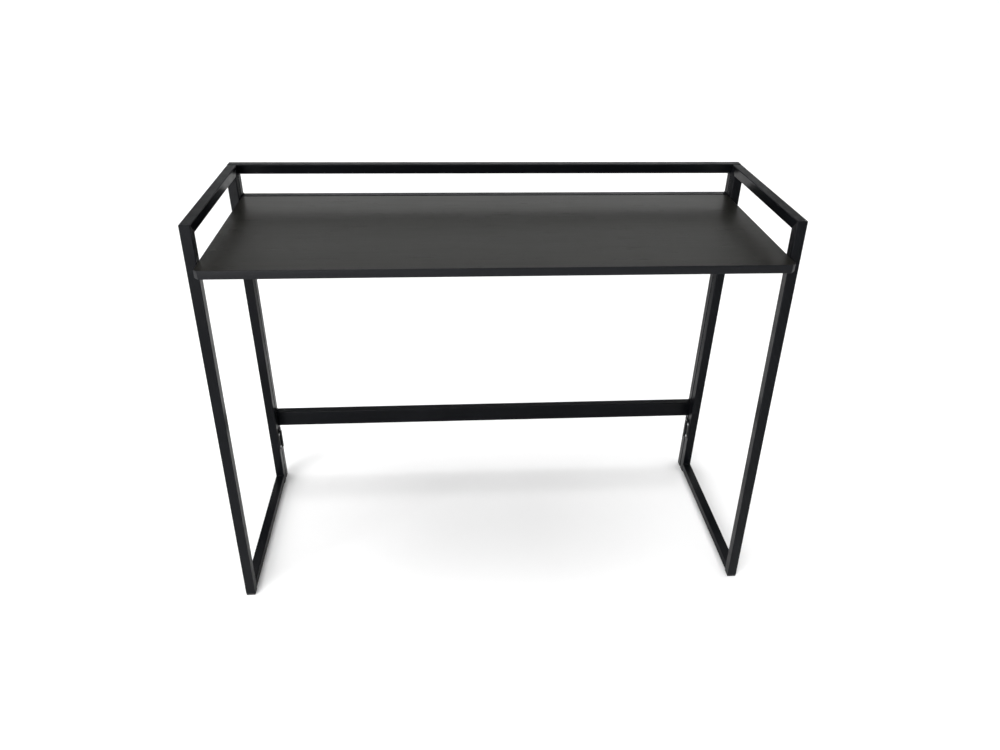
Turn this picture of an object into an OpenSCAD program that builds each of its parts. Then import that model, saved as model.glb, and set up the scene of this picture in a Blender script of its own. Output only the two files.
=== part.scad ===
// Folding writing desk: a rear frame, two side frames hinged to it, and a lift-off desktop.
// Units are millimetres. The origin is on the floor, at the middle of the desk's footprint.
// +X is to the sitter's right, +Y is to the rear and +Z is up.

/* [Overall] */
// Width over the side frames
width = 1100; // [900:10:1400]
// Height from the floor to the top of the rails
height = 830; // [800:5:1000]
// Depth over the top rails, from the front legs to the rear face
top_depth = 380; // [320:5:480]
// How far the front feet stand forward of the front legs' tops
front_rake = 50; // [0:5:90]

/* [Frame] */
// Side of the square tube
tube = 20; // [15:1:25]
// Wall of every tube
tube_wall = 1.2; // [0.8:0.1:2]
// Gap between a side frame and the rear frame
fold_gap = 3; // [1:0.5:4]
// Height of the stretcher's section
stretcher_h = 40; // [20:1:60]
// Top of the stretcher above the floor
stretcher_top = 208; // [190:2:400]

/* [Desktop] */
// Height of the desktop's upper face above the floor
desk_height = 763; // [600:1:770]
// Thickness of the board
board_t = 16; // [12:1:25]
// How far the front edge stands proud of the front legs
front_overhang = 36; // [0:1:45]
// Size of the cut at each front corner
corner_cut = 8; // [4:1:20]
// How far the desk rail stands above the desktop
rail_lip = 0; // [0:0.5:10]
// Height of the desk rail's section; the front tabs of a folded side frame pass under it
rail_h = 15; // [10:1:30]
// Clearance between the board and each side frame
side_gap = 1; // [0.5:0.5:3]
// Clearance between the board and the rear frame
rear_gap = 2; // [1:0.5:4]
// Thickness of the edge bands
band_t = 1; // [0.5:0.1:2]

/* [Hinges] */
// Length of a hinge and of its barrel
hinge_len = 50; // [30:1:60]
// Width of a leaf from the hinge's axis
leaf_w = 16; // [13:1:16]
// Thickness of a leaf
leaf_t = 1.5; // [1:0.1:2]
// Outer diameter of the barrel
barrel_d = 6.5; // [6:0.1:8]
// Diameter of the hinge pin
pin_d = 3.2; // [2.5:0.1:4]
// Radial clearance of pins, rivets and pegs in the holes that hold them
pin_play = 0.05; // [0.03:0.01:0.1]
// Gap between two knuckles
knuckle_gap = 0.2; // [0.1:0.1:0.5]
// Centre of the lower hinges below the stretcher
lower_drop = 38; // [30:1:60]
// Centre of the upper hinges below the board
upper_drop = 47; // [30:1:100]
// How far a pin's head stands in from the barrel
head_rim = 0.5; // [0.2:0.1:1]
// Diameter of a rivet's shank
rivet_d = 3.2; // [2.4:0.1:4]
// Diameter of a rivet's head
rivet_head_d = 6; // [5:0.5:7]
// Distance from a rivet to the free edge of its leaf
rivet_edge = 6; // [4:0.5:8]
// Distance from a rivet to the end of its leaf
rivet_end = 7; // [5:0.5:9]

/* [Supports] */
// Thickness of the tabs that the board rests on
tab_t = 3; // [2:0.5:5]
// How far a tab reaches under the board
tab_reach = 22; // [16:1:30]
// Width of a front tab
front_tab_w = 16; // [12:1:18]
// Width of a rear tab
rear_tab_w = 30; // [20:1:50]
// Distance from a side frame to the middle of a rear tab
rear_tab_in = 60; // [40:5:200]
// Diameter of the locating pegs
peg_d = 6; // [4:0.5:8]
// Depth of a peg in the board
peg_in = 8; // [4:0.5:9]
// How far a peg stands below the board, through its tab
peg_out = 6; // [4:0.5:12]
// Radial clearance of a peg in its tab
peg_play = 0.4; // [0.2:0.1:1]

/* [Feet] */
// Thickness of a glide under its tube
glide_h = 5; // [3:0.5:10]
// How far a glide's sides stand in from the tube
glide_inset = 0.3; // [0.2:0.1:1]
// Length of the plug inside the tube
plug_len = 14; // [8:1:20]
// Clearance round the plug
plug_play = 0.2; // [0.1:0.1:0.5]

/* [Hidden] */
$fn = 48;

// A little more, so that a cut runs past the face it opens
past = 1;
left = -1;
right = 1;

// Rear frame
half_w = width / 2;
inner_x = half_w - tube;
rear_y = (top_depth + front_rake) / 2;
rear_front_y = rear_y - tube;

// Side frames
wing_rear_y = rear_front_y - fold_gap;
rake_angle = atan(front_rake / (height - glide_h));
leg_run = tube / cos(rake_angle);
wall_run = tube_wall / cos(rake_angle);
rail_under = height - tube;
foot_top = glide_h + tube;

// Front face of a front leg at height z
function leg_y(z) = rear_y - top_depth - front_rake * (height - z) / (height - glide_h);

// Desktop
board_under = desk_height - board_t;
board_x = inner_x - side_gap;
board_front = leg_y(desk_height) - front_overhang;
board_rear = rear_front_y - rear_gap;
band_step = band_t * (sqrt(2) - 1);
core_cut = corner_cut - band_t * (2 - sqrt(2));

// Hinges
hinge_x = inner_x - barrel_d / 2;
hinge_y = rear_front_y - fold_gap / 2;
lower_z = stretcher_top - stretcher_h - lower_drop;
upper_z = board_under - upper_drop;
knuckle = hinge_len / 3;
pin_head_h = 1;
pin_head_r = barrel_d / 2 - head_rim;
rivet_pitch = hinge_len - 2 * rivet_end;
rivet_y = leaf_w - rivet_edge;
rivet_head_h = 1;
rivet_hole_r = rivet_d / 2 + pin_play;
// Length of a rivet's swelled tail, and its width against the shank's
rivet_tail = 2;
tail_swell = 1.35;
// How much of a head's width is left at its top
head_taper = 0.7;

// Supports
tab_z = board_under - tab_t;
front_tab_y = leg_y(tab_z) + leg_run / 2;
rear_tab_x = inner_x - rear_tab_in;
rear_tab_front = board_rear - tab_reach;
desk_rail_under = desk_height + rail_lip - rail_h;
// A rear tab laps under the desk rail, and is packed up to a rail that stands higher than the
// board's underside; it butts on the face of a rail that hangs lower
tab_lap = tube * 3 / 4;
tab_packing = max(desk_rail_under - board_under, 0);
rear_tab_back = desk_rail_under < board_under ? rear_front_y : rear_front_y + tab_lap;
peg_x = inner_x - tab_reach / 2;
rear_peg_y = board_rear - tab_reach / 2;
peg_tip = 1;

frame_colour = [0.14, 0.145, 0.155];
board_colour = [0.26, 0.26, 0.25];
band_colour = [0.15, 0.155, 0.165];
hinge_colour = [0.2, 0.2, 0.21];
steel_colour = [0.75, 0.75, 0.76];
foot_colour = [0.08, 0.08, 0.08];

// ---- Shared shapes ----

// An outline in Y and Z, drawn through a thickness along X that starts at x
module along_x(x, thickness, outline) {
    translate([x, 0, 0])
        rotate([90, 0, 90])
            linear_extrude(thickness)
                polygon(outline);
}

// An outline in X and Z, drawn through a thickness along Y that ends at y
module along_y(y, thickness, outline) {
    translate([0, y, 0])
        rotate([90, 0, 0])
            linear_extrude(thickness)
                polygon(outline);
}

// A tube of a side frame: its outline, less the strip that its bore takes
module side_tube(side, outline, bore) {
    x = side == left ? -half_w : inner_x;
    color(frame_colour)
        difference() {
            along_x(x, tube, outline);
            along_x(x + tube_wall, tube - 2 * tube_wall, bore);
        }
}

// A tube of the rear frame, made the same way
module rear_tube(outline, bore) {
    color(frame_colour)
        difference() {
            along_y(rear_y, tube, outline);
            along_y(rear_y - tube_wall, tube - 2 * tube_wall, bore);
        }
}

// A straight box-section rail between the posts
module cross_tube(top, section_h) {
    color(frame_colour)
        difference() {
            translate([-inner_x, rear_front_y, top - section_h])
                cube([2 * inner_x, tube, section_h]);
            translate([-inner_x - past, rear_front_y + tube_wall, top - section_h + tube_wall])
                cube([2 * (inner_x + past), tube - 2 * tube_wall, section_h - 2 * tube_wall]);
        }
}

// ---- Rivets, and the holes that they fill ----

// Places its children at the two rivets of one leaf; way is 1 on the post and -1 on the wing
module at_leaf_rivets(side, z, way) {
    for (step = [-0.5, 0.5])
        translate([side * inner_x, hinge_y + way * rivet_y, z + step * rivet_pitch])
            rotate([0, side * 90, 0])
                children();
}

// Places its children at the rivets of both hinges of one side
module at_rivets(side, way) {
    for (z = [lower_z, upper_z])
        at_leaf_rivets(side, z, way)
            children();
}

// Holes through the tube's inner wall
module wall_holes(side, way) {
    at_rivets(side, way)
        translate([0, 0, -past])
            cylinder(h = past + 2 * tube_wall, r = rivet_hole_r);
}

// A blind rivet: a low head on the leaf, a shank and a swelled tail inside the tube
module rivet() {
    translate([0, 0, -leaf_t - rivet_head_h])
        cylinder(h = rivet_head_h, d1 = rivet_head_d * head_taper, d2 = rivet_head_d, $fn = 32);
    translate([0, 0, -leaf_t])
        cylinder(h = leaf_t + tube_wall + past, d = rivet_d, $fn = 32);
    translate([0, 0, tube_wall])
        cylinder(h = rivet_tail, d = rivet_d * tail_swell, $fn = 32);
}

module post_rivets() {
    color(steel_colour)
        for (side = [left, right])
            at_rivets(side, 1)
                rivet();
}

module wing_rivets(side) {
    color(steel_colour)
        at_rivets(side, -1)
            rivet();
}

// ---- Rear frame ----

module rear_post(side) {
    difference() {
        rear_tube(
            [for (p = [[half_w, glide_h], [inner_x, glide_h], [inner_x, rail_under], [half_w, height]])
                [side * p[0], p[1]]],
            [for (p = [
                [half_w - tube_wall, glide_h - past], [inner_x + tube_wall, glide_h - past],
                [inner_x + tube_wall, height], [half_w - tube_wall, height]])
                [side * p[0], p[1]]]
        );
        wall_holes(side, 1);
    }
}

module rear_top_rail() {
    rear_tube(
        [[-half_w, height], [half_w, height], [inner_x, rail_under], [-inner_x, rail_under]],
        [[-half_w, height - tube_wall], [half_w, height - tube_wall],
            [half_w, rail_under + tube_wall], [-half_w, rail_under + tube_wall]]
    );
}

module rear_desk_rail() {
    cross_tube(desk_rail_under + rail_h, rail_h);
}

module stretcher() {
    cross_tube(stretcher_top, stretcher_h);
}

// ---- Side frames ----

module front_leg(side) {
    side_tube(
        side,
        [[leg_y(glide_h), glide_h], [leg_y(glide_h) + leg_run, glide_h],
            [leg_y(rail_under) + leg_run, rail_under], [leg_y(height), height]],
        [for (p = [[glide_h - past, wall_run], [glide_h - past, leg_run - wall_run],
            [height + past, leg_run - wall_run], [height + past, wall_run]])
            [leg_y(p[0]) + p[1], p[0]]]
    );
}

module rear_leg(side) {
    front = wing_rear_y - tube;
    difference() {
        side_tube(
            side,
            [[front, glide_h], [wing_rear_y, glide_h], [wing_rear_y, height], [front, rail_under]],
            [[front + tube_wall, glide_h - past], [wing_rear_y - tube_wall, glide_h - past],
                [wing_rear_y - tube_wall, height], [front + tube_wall, height]]
        );
        wall_holes(side, -1);
    }
}

module top_rail(side) {
    side_tube(
        side,
        [[leg_y(rail_under) + leg_run, rail_under], [wing_rear_y - tube, rail_under],
            [wing_rear_y, height], [leg_y(height), height]],
        [[leg_y(height), rail_under + tube_wall], [wing_rear_y, rail_under + tube_wall],
            [wing_rear_y, height - tube_wall], [leg_y(height), height - tube_wall]]
    );
}

module bottom_rail(side) {
    side_tube(
        side,
        [[leg_y(glide_h) + leg_run, glide_h], [wing_rear_y - tube, glide_h],
            [wing_rear_y - tube, foot_top], [leg_y(foot_top) + leg_run, foot_top]],
        [[leg_y(glide_h), glide_h + tube_wall], [wing_rear_y, glide_h + tube_wall],
            [wing_rear_y, foot_top - tube_wall], [leg_y(glide_h), foot_top - tube_wall]]
    );
}

// ---- Hinges ----

// A solid along a hinge's axis, between two heights above the hinge's lower end
module on_axis(side, z, low, high, r) {
    translate([side * hinge_x, hinge_y, z - hinge_len / 2 + low])
        cylinder(h = high - low, r = r);
}

// A leaf with its own knuckles: way is 1 on the post and -1 on the wing
module hinge_leaf(side, z, way, own, other) {
    leaf_x = side == left ? -inner_x : inner_x - leaf_t;
    color(hinge_colour)
        difference() {
            union() {
                translate([leaf_x, way > 0 ? hinge_y : hinge_y - leaf_w, z - hinge_len / 2])
                    cube([leaf_t, leaf_w, hinge_len]);
                for (k = own)
                    on_axis(side, z, k[0], k[1], barrel_d / 2);
            }
            for (k = other)
                on_axis(side, z, k[0] - knuckle_gap, k[1] + knuckle_gap, barrel_d / 2 + 2 * knuckle_gap);
            on_axis(side, z, -past, hinge_len + past, pin_d / 2 + pin_play);
            at_leaf_rivets(side, z, way)
                translate([0, 0, -leaf_t - past])
                    cylinder(h = leaf_t + 2 * past, r = rivet_hole_r);
        }
}

module post_leaf(side, z) {
    hinge_leaf(side, z, 1,
        [[0, knuckle - knuckle_gap], [2 * knuckle + knuckle_gap, hinge_len]],
        [[knuckle, 2 * knuckle]]);
}

module wing_leaf(side, z) {
    hinge_leaf(side, z, -1,
        [[knuckle, 2 * knuckle]],
        [[-past, knuckle - knuckle_gap], [2 * knuckle + knuckle_gap, hinge_len + past]]);
}

// A hinge pin with a low turned head at each end
module hinge_pin(side, z) {
    color(steel_colour)
        translate([side * hinge_x, hinge_y, z]) {
            cylinder(h = hinge_len, d = pin_d, center = true);
            for (turn = [0, 180])
                rotate([turn, 0, 0])
                    translate([0, 0, hinge_len / 2])
                        cylinder(h = pin_head_h, r1 = pin_head_r, r2 = pin_head_r * head_taper);
        }
}

// ---- Feet ----

// A glide of outline front to front + run, whose plug follows the tube's lean
module glide(side, front, run, lean) {
    lean_at = lean * plug_len / (height - glide_h);
    gap_in = tube_wall + plug_play;
    plug_top = glide_h + plug_len;
    color(foot_colour) {
        along_x(side == left ? -half_w + glide_inset : inner_x + glide_inset, tube - 2 * glide_inset, [
            [front + glide_inset, 0], [front + run - glide_inset, 0],
            [front + run - glide_inset, glide_h], [front + glide_inset, glide_h]
        ]);
        along_x(side == left ? -half_w + gap_in : inner_x + gap_in, tube - 2 * gap_in, [
            [front + gap_in, glide_h - past], [front + run - gap_in, glide_h - past],
            [front + run - gap_in, glide_h], [front + run - gap_in + lean_at, plug_top],
            [front + gap_in + lean_at, plug_top], [front + gap_in, glide_h]
        ]);
    }
}

module front_glide(side) {
    glide(side, leg_y(glide_h), leg_run, front_rake);
}

module rear_glide(side) {
    glide(side, wing_rear_y - tube, tube, 0);
}

module post_glide(side) {
    glide(side, rear_front_y, tube, 0);
}

// ---- Desktop supports ----

module tab_plate(x, y, size_x, size_y, hole_x, hole_y) {
    color(frame_colour)
        difference() {
            translate([x, y, tab_z])
                cube([size_x, size_y, tab_t]);
            translate([hole_x, hole_y, tab_z - past])
                cylinder(h = tab_t + 2 * past, r = peg_d / 2 + peg_play);
        }
}

module front_tab(side) {
    x = side == left ? -inner_x : inner_x - tab_reach;
    tab_plate(x, front_tab_y - front_tab_w / 2, tab_reach, front_tab_w, side * peg_x, front_tab_y);
}

module rear_tab(side) {
    tab_plate(
        side * rear_tab_x - rear_tab_w / 2, rear_tab_front,
        rear_tab_w, rear_tab_back - rear_tab_front,
        side * rear_tab_x, rear_peg_y
    );
    if (tab_packing > 0)
        color(frame_colour)
            translate([side * rear_tab_x - rear_tab_w / 2, rear_front_y, board_under])
                cube([rear_tab_w, tab_lap, tab_packing]);
}

// A locating peg set in the board, whose chamfered tip stands down through its tab
module peg(x, y) {
    color(steel_colour)
        translate([x, y, board_under - peg_out]) {
            cylinder(h = peg_tip, d1 = peg_d - 2 * peg_tip, d2 = peg_d);
            translate([0, 0, peg_tip])
                cylinder(h = peg_out - peg_tip + peg_in, d = peg_d);
        }
}

module front_peg(side) {
    peg(side * peg_x, front_tab_y);
}

module rear_peg(side) {
    peg(side * rear_tab_x, rear_peg_y);
}

// ---- Desktop ----

module board_prism(outline) {
    translate([0, 0, board_under])
        linear_extrude(board_t)
            polygon(outline);
}

module desktop_board() {
    x = board_x - band_t;
    front = board_front + band_t;
    rear = board_rear - band_t;
    color(board_colour)
        difference() {
            board_prism([
                [-x, front + core_cut], [-x + core_cut, front], [x - core_cut, front],
                [x, front + core_cut], [x, rear], [-x, rear]
            ]);
            for (side = [left, right])
                for (spot = [[peg_x, front_tab_y], [rear_tab_x, rear_peg_y]])
                    translate([side * spot[0], spot[1], board_under - past])
                        cylinder(h = past + peg_in, r = peg_d / 2 + pin_play);
        }
}

// One band along the front edge and round both cut corners
module front_edge_band() {
    side_y = board_front + corner_cut;
    core_y = side_y + band_step;
    core_x = board_x - band_t;
    color(band_colour)
        board_prism([
            [-board_x, side_y], [-board_x + corner_cut, board_front],
            [board_x - corner_cut, board_front], [board_x, side_y],
            [core_x, core_y], [core_x - core_cut, board_front + band_t],
            [-core_x + core_cut, board_front + band_t], [-core_x, core_y]
        ]);
}

module rear_edge_band() {
    color(band_colour)
        board_prism([
            [-board_x, board_rear], [board_x, board_rear],
            [board_x - band_t, board_rear - band_t], [-board_x + band_t, board_rear - band_t]
        ]);
}

module side_edge_band(side) {
    side_y = board_front + corner_cut;
    color(band_colour)
        board_prism([
            [side * board_x, side_y], [side * board_x, board_rear],
            [side * (board_x - band_t), board_rear - band_t],
            [side * (board_x - band_t), side_y + band_step]
        ]);
}

// ---- The nodes ----

rear_post(left);  // rear_post_left
rear_post(right);  // rear_post_right
rear_top_rail();
rear_desk_rail();
stretcher();

front_leg(left);  // left_front_leg
rear_leg(left);  // left_rear_leg
top_rail(left);  // left_top_rail
bottom_rail(left);  // left_bottom_rail
front_leg(right);  // right_front_leg
rear_leg(right);  // right_rear_leg
top_rail(right);  // right_top_rail
bottom_rail(right);  // right_bottom_rail

post_leaf(left, lower_z);  // left_lower_post_leaf
wing_leaf(left, lower_z);  // left_lower_wing_leaf
hinge_pin(left, lower_z);  // left_lower_pin
post_leaf(left, upper_z);  // left_upper_post_leaf
wing_leaf(left, upper_z);  // left_upper_wing_leaf
hinge_pin(left, upper_z);  // left_upper_pin
post_leaf(right, lower_z);  // right_lower_post_leaf
wing_leaf(right, lower_z);  // right_lower_wing_leaf
hinge_pin(right, lower_z);  // right_lower_pin
post_leaf(right, upper_z);  // right_upper_post_leaf
wing_leaf(right, upper_z);  // right_upper_wing_leaf
hinge_pin(right, upper_z);  // right_upper_pin

post_rivets();
wing_rivets(left);  // left_wing_rivets
wing_rivets(right);  // right_wing_rivets

front_glide(left);  // left_front_glide
rear_glide(left);  // left_rear_glide
post_glide(left);  // left_post_glide
front_glide(right);  // right_front_glide
rear_glide(right);  // right_rear_glide
post_glide(right);  // right_post_glide

front_tab(left);  // left_front_tab
front_tab(right);  // right_front_tab
rear_tab(left);  // left_rear_tab
rear_tab(right);  // right_rear_tab
front_peg(left);  // left_front_peg
front_peg(right);  // right_front_peg
rear_peg(left);  // left_rear_peg
rear_peg(right);  // right_rear_peg

desktop_board();
front_edge_band();
rear_edge_band();
side_edge_band(left);  // left_edge_band
side_edge_band(right);  // right_edge_band
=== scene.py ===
import math

import bmesh
import bpy
from bpy.props import FloatProperty, FloatVectorProperty, PointerProperty
from bpy.types import Operator, Panel, PropertyGroup
from mathutils import Matrix, Vector


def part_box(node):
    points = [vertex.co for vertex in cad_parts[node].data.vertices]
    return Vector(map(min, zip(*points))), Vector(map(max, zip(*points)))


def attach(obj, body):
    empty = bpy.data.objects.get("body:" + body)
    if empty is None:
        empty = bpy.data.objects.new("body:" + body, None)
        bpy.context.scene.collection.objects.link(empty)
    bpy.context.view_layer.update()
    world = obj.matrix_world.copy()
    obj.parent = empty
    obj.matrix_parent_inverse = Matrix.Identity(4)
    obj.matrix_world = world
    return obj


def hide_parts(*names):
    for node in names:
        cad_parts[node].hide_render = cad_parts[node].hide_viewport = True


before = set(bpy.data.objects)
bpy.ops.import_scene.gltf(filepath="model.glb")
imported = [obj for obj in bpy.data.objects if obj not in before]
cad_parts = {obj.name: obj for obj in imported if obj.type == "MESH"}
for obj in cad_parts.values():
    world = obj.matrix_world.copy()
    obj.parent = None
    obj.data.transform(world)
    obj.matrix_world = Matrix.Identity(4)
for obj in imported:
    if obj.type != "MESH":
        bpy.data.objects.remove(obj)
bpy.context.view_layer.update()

bl_info = {
    "name": "Folding writing desk",
    "version": (1, 0, 0),
    "blender": (4, 5, 0),
    "location": "3D View > Sidebar > Desk",
    "description": "Builds the visible pieces and finishes of a folding writing desk",
    "category": "Object",
}

X = Vector((1, 0, 0))
Y = Vector((0, 1, 0))
Z = Vector((0, 0, 1))
SIDES = {"left": -1, "right": 1}
LEVELS = ("lower", "upper")
MM = 0.001

# Bevels round the rims of the flat pieces.
RIM = 0.2 * MM
TAB_RIM = 0.3 * MM
BOARD_RIM = 0.12 * MM

# A weld's ripple, bulge and thin end are shares of its leg.
WELD_RIPPLE = 0.08
WELD_BULGE = 0.16
WELD_THIN_END = 0.3
RINGS_PER_RIPPLE = 6
WELD_FACES = 5

# Hinges. A knuckle curls this far round its pin, which leaves a slot before the plate.
CURL_TURN = math.radians(305)
CURL_STEPS = 36
KNUCKLE_GAP = 0.2 * MM
NOTCH_PLAY = 0.4 * MM
PIN_CAP = 1 * MM
PIN_FLAT = 0.02 * MM
RIVET_HEAD = 1 * MM
RIVET_SHANK = 1.6 * MM

# Glides. The plug stands clear of the tube's wall and narrows at its top.
SOLE_CORNER = 1.5 * MM
SOLE_LIP = 0.4 * MM
PLUG_INSET = 1.4 * MM
PLUG_CORNER = 1 * MM
PLUG_LEAD = 1 * MM
PLUG_TAPER = 0.6 * MM

PEG_TIP = 1 * MM
BAND_BEND = 1.5 * MM

# The studio's round floor, in metres.
FLOOR_REACH = 14
FLOOR_BEND = 3
WALL_TOP = 8
FLOOR_SIDES = 96
FLOOR_BEND_STEPS = 12

# The overhead light's width in the sky, and the camera's sensor in millimetres.
OVERHEAD_SPREAD = math.radians(60)
SENSOR_WIDTH = 36


# ---- Places that come from the frame ----

def low(node):
    """The lowest corner of a CAD node."""
    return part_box(node)[0]


def high(node):
    """The highest corner of a CAD node."""
    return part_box(node)[1]


def middle(node):
    """The middle of a CAD node's box."""
    return (low(node) + high(node)) / 2


def extent(node):
    """The size of a CAD node's box."""
    return high(node) - low(node)


HALF_W = high("rear_top_rail").x
TOP_Z = high("rear_top_rail").z
TUBE = extent("rear_top_rail").z
INNER_X = HALF_W - TUBE
REAR_Y = high("rear_top_rail").y
POST_Y = low("rear_top_rail").y
WING_Y = high("left_rear_leg").y
LEG_FRONT_Y = low("left_rear_leg").y
TUBE_END_Z = low("left_front_leg").z
FOOT_Y = low("left_front_leg").y
CROWN_Y = low("left_top_rail").y
LEAN = (CROWN_Y - FOOT_Y) / (TOP_Z - TUBE_END_Z)
RUN = TUBE * math.hypot(1, LEAN)
BOARD_TOP = high("desktop_board").z
BOARD_UNDER = low("desktop_board").z
BOARD_X = high("front_edge_band").x
BOARD_FRONT = low("front_edge_band").y
BOARD_REAR = high("rear_edge_band").y
BAND = extent("left_edge_band").x
# The front band runs on past each cut corner, to where its inner face ends in a mitre.
CORNER_CUT = extent("front_edge_band").y - BAND * (math.sqrt(2) - 1)


def leg_y(z):
    """The front face of a front leg at height z."""
    return FOOT_Y + LEAN * (z - TUBE_END_Z)


# ---- What a user may change ----

class DeskSizes(PropertyGroup):
    """Sizes of the details that the frame leaves plain."""

    tube_round: FloatProperty(
        name="Tube corner", description="Outer radius of the tubes' corners",
        default=1.7 * MM, min=0.5 * MM, max=4 * MM, unit="LENGTH", precision=4)
    seam: FloatProperty(
        name="Seam", description="Groove at a tube's cut end, along the tube and twice its depth",
        default=0.5 * MM, min=0.1 * MM, max=1.5 * MM, unit="LENGTH", precision=4)
    weld: FloatProperty(
        name="Weld", description="Leg of the fillet welds in the inner corners",
        default=2.2 * MM, min=1 * MM, max=4 * MM, unit="LENGTH", precision=4)
    weld_pitch: FloatProperty(
        name="Weld ripple", description="Distance between two ripples of a weld",
        default=1.4 * MM, min=0.5 * MM, max=3 * MM, unit="LENGTH", precision=4)
    leaf: FloatProperty(
        name="Leaf", description="Thickness of a hinge leaf",
        default=1.5 * MM, min=1 * MM, max=2 * MM, unit="LENGTH", precision=4)
    leaf_round: FloatProperty(
        name="Leaf corner", description="Radius of a leaf's outer corners",
        default=2.5 * MM, min=0.5 * MM, max=5 * MM, unit="LENGTH", precision=4)
    pin: FloatProperty(
        name="Pin", description="Radius of a hinge pin",
        default=1.6 * MM, min=1 * MM, max=2.5 * MM, unit="LENGTH", precision=4)
    board_round: FloatProperty(
        name="Band edge", description="Radius of the edge bands' long edges",
        default=0.7 * MM, min=0.2 * MM, max=0.9 * MM, unit="LENGTH", precision=4)
    glide_round: FloatProperty(
        name="Glide edge", description="Chamfer round the sole of a glide",
        default=1.0 * MM, min=0.2 * MM, max=2 * MM, unit="LENGTH", precision=4)
    tab_round: FloatProperty(
        name="Tab corner", description="Radius of a tab's free corners",
        default=4 * MM, min=1 * MM, max=7 * MM, unit="LENGTH", precision=4)
    peg_play: FloatProperty(
        name="Peg play", description="Clearance of a peg in its tab",
        default=0.4 * MM, min=0.2 * MM, max=1 * MM, unit="LENGTH", precision=4)


class DeskColours(PropertyGroup):
    """Colours of the finishes."""

    coat: FloatVectorProperty(
        name="Frame coat", description="Powder coat of the tubes",
        subtype="COLOR", size=3, default=(0.0024, 0.0027, 0.0034), min=0, max=1)
    coat_haze: FloatVectorProperty(
        name="Frame haze", description="Lighter clouds in the powder coat",
        subtype="COLOR", size=3, default=(0.0038, 0.0042, 0.0052), min=0, max=1)
    rub: FloatVectorProperty(
        name="Rubbed edge", description="Where handling has polished the coat",
        subtype="COLOR", size=3, default=(0.022, 0.023, 0.025), min=0, max=1)
    laminate: FloatVectorProperty(
        name="Laminate", description="Ground colour of the desktop",
        subtype="COLOR", size=3, default=(0.0070, 0.0068, 0.0059), min=0, max=1)
    grain: FloatVectorProperty(
        name="Laminate grain", description="Lighter streaks of the desktop",
        subtype="COLOR", size=3, default=(0.0145, 0.0142, 0.0123), min=0, max=1)
    backing: FloatVectorProperty(
        name="Backing", description="Underside of the desktop",
        subtype="COLOR", size=3, default=(0.018, 0.0172, 0.0155), min=0, max=1)
    band: FloatVectorProperty(
        name="Edge band", description="Edge bands of the desktop",
        subtype="COLOR", size=3, default=(0.0035, 0.0038, 0.0047), min=0, max=1)
    steel: FloatVectorProperty(
        name="Rivet steel", description="Bright heads of the rivets",
        subtype="COLOR", size=3, default=(0.62, 0.62, 0.63), min=0, max=1)
    pin: FloatVectorProperty(
        name="Pin steel", description="Oiled ends of the hinge pins",
        subtype="COLOR", size=3, default=(0.12, 0.12, 0.122), min=0, max=1)
    zinc: FloatVectorProperty(
        name="Peg zinc", description="Plated locating pegs",
        subtype="COLOR", size=3, default=(0.5, 0.51, 0.53), min=0, max=1)
    glide: FloatVectorProperty(
        name="Glide", description="Moulded glides under the tubes",
        subtype="COLOR", size=3, default=(0.008, 0.008, 0.008), min=0, max=1)


class StudioSettings(PropertyGroup):
    """The floor, the lights and the camera."""

    floor: FloatVectorProperty(
        name="Floor", description="Colour of the floor",
        subtype="COLOR", size=3, default=(0.86, 0.86, 0.86), min=0, max=1)
    sky: FloatProperty(
        name="Surroundings", description="Brightness of the white surroundings",
        default=0.14, min=0, max=5)
    overhead: FloatProperty(
        name="Overhead light", description="Strength of the even light from above",
        default=3.3, min=0, max=20)
    key: FloatProperty(
        name="Key light", description="Power of the soft light from the front left",
        default=230, min=0, max=1000, subtype="POWER", unit="POWER")
    rear: FloatProperty(
        name="Rear light", description="Power of the broad panel behind the desk",
        default=16, min=0, max=1000, subtype="POWER", unit="POWER")
    camera: FloatVectorProperty(
        name="Camera", description="Place of the camera",
        subtype="TRANSLATION", size=3, unit="LENGTH", default=(-0.1012, -1.4511, 1.2981))
    turn: FloatProperty(
        name="Turn", description="Turn of the camera about the vertical",
        default=math.radians(-4.753), subtype="ANGLE", unit="ROTATION")
    tilt: FloatProperty(
        name="Tilt", description="Tilt of the camera above the horizon",
        default=math.radians(-31.423), subtype="ANGLE", unit="ROTATION")
    roll: FloatProperty(
        name="Roll", description="Roll of the camera about its line of sight",
        default=math.radians(1.3), subtype="ANGLE", unit="ROTATION")
    lens: FloatProperty(
        name="Lens", description="Focal length, in millimetres on a 36 mm sensor",
        default=27.83, min=10, max=200)
    shift: FloatVectorProperty(
        name="Shift", description="Shift of the lens, as a share of the frame's width",
        size=2, default=(-0.0019, 0.0052))


def sizes():
    """The scene's desk sizes."""
    return bpy.context.scene.desk_sizes


def colours():
    """The scene's desk colours."""
    return bpy.context.scene.desk_colours


# ---- Mesh making ----

def quarter_turn(steps):
    """Angles from 0 to a right angle."""
    return [math.pi / 2 * k / steps for k in range(steps + 1)]


def rounded_section(width, height, radius, steps=5, ease_share=0.3):
    """A rounded box section as (across, up, rub) points.

    rub is 1 on the round corners, and fades to 0 on the flats within ease_share of the radius.
    """
    ease = radius * ease_share
    points = []
    for quarter in range(4):
        start = quarter * math.pi / 2
        centre_a = (width / 2 - radius) * (1 if quarter in (0, 3) else -1)
        centre_b = (height / 2 - radius) * (1 if quarter in (0, 1) else -1)
        for k in range(-1, steps + 2):
            angle = start + min(max(k, 0), steps) / steps * math.pi / 2
            lead = -ease if k < 0 else ease if k > steps else 0
            across = centre_a + radius * math.cos(angle) - lead * math.sin(angle)
            up = centre_b + radius * math.sin(angle) + lead * math.cos(angle)
            points.append((across, up, 0 if lead else 1))
    return points


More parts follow.
